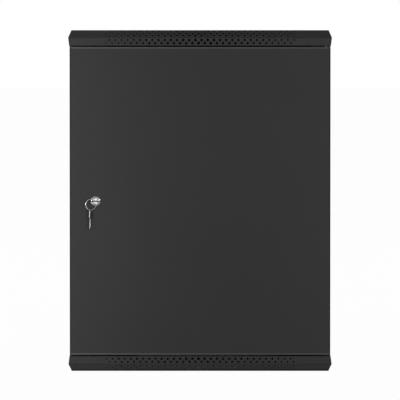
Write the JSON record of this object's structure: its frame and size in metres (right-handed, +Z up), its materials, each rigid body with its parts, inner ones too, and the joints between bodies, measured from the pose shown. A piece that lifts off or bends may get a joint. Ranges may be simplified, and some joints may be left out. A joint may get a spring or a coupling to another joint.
{
  "type": "wall mount network cabinet",
  "caption": "Black steel wall cabinet for 19-inch network equipment, with a hinged locking door, perforated visors, removable sides and movable mounting rails.",
  "frame": {"origin": "centre of the four wall-fixing holes, on the rear face of the rear panel", "axes": "+X to the right seen from the front, +Y to the wall, +Z up"},
  "size_m": [0.6, 0.4782, 0.778],
  "materials": {
    "powder_coat": "fine-texture matt black powder coat",
    "chrome": "bright chrome plate",
    "plug_chrome": "chrome plate, lightly rubbed",
    "nickel": "nickel plate",
    "zinc_rail": "galvanised sheet",
    "zinc_fastener": "bright zinc plate",
    "rubber": "black rubber"
  },
  "bodies": {
    "root": {"top_panel": "powder_coat", "bottom_panel": "powder_coat", "top_visor": "powder_coat", "bottom_visor": "powder_coat", "rear_panel": "powder_coat", "lower_hinge_pin": "zinc_fastener", "door_buffers": "rubber", "earth_stud": "zinc_fastener", "top_cover_studs": "zinc_fastener", "bottom_cover_studs": "zinc_fastener", "front_upright_left": "powder_coat", "front_upright_right": "powder_coat", "rear_upright_left": "powder_coat", "rear_upright_right": "powder_coat", "side_bar_upper_left": "powder_coat", "side_bar_upper_right": "powder_coat", "side_bar_lower_left": "powder_coat", "side_bar_lower_right": "powder_coat", "side_lock_keeper_left": "powder_coat", "side_lock_keeper_right": "powder_coat"},
    "door": {"door_panel": "powder_coat", "door_stiffener": "powder_coat", "lower_hinge_bracket": "zinc_fastener", "upper_hinge_bracket": "zinc_fastener", "lock_body": "chrome", "lock_nut": "zinc_fastener"},
    "release_pin": {"upper_hinge_pin": "zinc_fastener", "hinge_spring": "zinc_fastener"},
    "lock_plug": {"lock_plug": "plug_chrome", "lock_cam": "zinc_fastener", "cam_screw": "zinc_fastener"},
    "key": {"key": "nickel"},
    "key_ring": {"key_ring": "nickel"},
    "spare_key": {"spare_key": "nickel"},
    "top_cable_cover": {"top_cable_cover": "powder_coat"},
    "bottom_cable_cover": {"bottom_cable_cover": "powder_coat"},
    "side_panel_right": {"side_panel_right": "powder_coat", "side_lock_body_right": "chrome", "side_lock_nut_right": "zinc_fastener"},
    "side_lock_right": {"side_lock_cam_right": "plug_chrome"},
    "mounting_rail_front_right": {"mounting_rail_front_right": "zinc_rail", "rail_bolts_front_right": "zinc_fastener"},
    "mounting_rail_rear_right": {"mounting_rail_rear_right": "zinc_rail", "rail_bolts_rear_right": "zinc_fastener"},
    "side_panel_left": {"side_panel_left": "powder_coat", "side_lock_body_left": "chrome", "side_lock_nut_left": "zinc_fastener"},
    "side_lock_left": {"side_lock_cam_left": "plug_chrome"},
    "mounting_rail_front_left": {"mounting_rail_front_left": "zinc_rail", "rail_bolts_front_left": "zinc_fastener"},
    "mounting_rail_rear_left": {"mounting_rail_rear_left": "zinc_rail", "rail_bolts_rear_left": "zinc_fastener"}
  },
  "joints": [
    {"name": "door_hinge", "type": "hinge", "parent": "root", "child": "door", "pos_m": [0.286, -0.44, 0], "axis": [0, 0, 1], "range_deg": [0, 180]},
    {"name": "hinge_pin_release", "type": "slide", "parent": "door", "child": "release_pin", "axis": [0, 0, -1], "range_m": [0, 0.008], "stiffness_N_per_m": 500, "springref_m": -0.012, "deforming": ["hinge_spring"]},
    {"name": "lock_turn", "type": "hinge", "parent": "door", "child": "lock_plug", "pos_m": [-0.238, -0.448, 0], "axis": [0, 1, 0], "range_deg": [0, 90]},
    {"name": "key_pull", "type": "slide", "parent": "lock_plug", "child": "key", "axis": [0, -1, 0], "range_m": [0, 0.028]},
    {"name": "ring_swing", "type": "hinge", "parent": "key", "child": "key_ring", "pos_m": [-0.238, -0.4692, 0], "axis": [0, 1, 0], "range_deg": [0, 60]},
    {"name": "spare_swing", "type": "hinge", "parent": "key_ring", "child": "spare_key", "pos_m": [-0.2462, -0.46981, -0.02124], "axis": [0.9607, -0.2756, -0.0335], "range_deg": [-45, 12]},
    {"name": "top_cover_slide", "type": "slide", "parent": "root", "child": "top_cable_cover", "axis": [0, -1, 0], "range_m": [0, 0.05]},
    {"name": "bottom_cover_slide", "type": "slide", "parent": "root", "child": "bottom_cable_cover", "axis": [0, -1, 0], "range_m": [0, 0.05]},
    {"name": "side_panel_right_removal", "type": "slide", "parent": "root", "child": "side_panel_right", "axis": [1, 0, 0], "range_m": [0, 0.1]},
    {"name": "side_lock_right_turn", "type": "hinge", "parent": "side_panel_right", "child": "side_lock_right", "pos_m": [0.294, -0.212, 0.261], "axis": [1, 0, 0], "range_deg": [0, 90]},
    {"name": "rail_front_right_adjust", "type": "slide", "parent": "root", "child": "mounting_rail_front_right", "axis": [0, 1, 0], "range_m": [0, 0.08]},
    {"name": "rail_rear_right_adjust", "type": "slide", "parent": "root", "child": "mounting_rail_rear_right", "axis": [0, -1, 0], "range_m": [0, 0.08]},
    {"name": "side_panel_left_removal", "type": "slide", "parent": "root", "child": "side_panel_left", "axis": [-1, 0, 0], "range_m": [0, 0.1]},
    {"name": "side_lock_left_turn", "type": "hinge", "parent": "side_panel_left", "child": "side_lock_left", "pos_m": [-0.294, -0.212, 0.261], "axis": [1, 0, 0], "range_deg": [0, 90]},
    {"name": "rail_front_left_adjust", "type": "slide", "parent": "root", "child": "mounting_rail_front_left", "axis": [0, 1, 0], "range_m": [0, 0.08]},
    {"name": "rail_rear_left_adjust", "type": "slide", "parent": "root", "child": "mounting_rail_rear_left", "axis": [0, -1, 0], "range_m": [0, 0.08]}
  ]
}
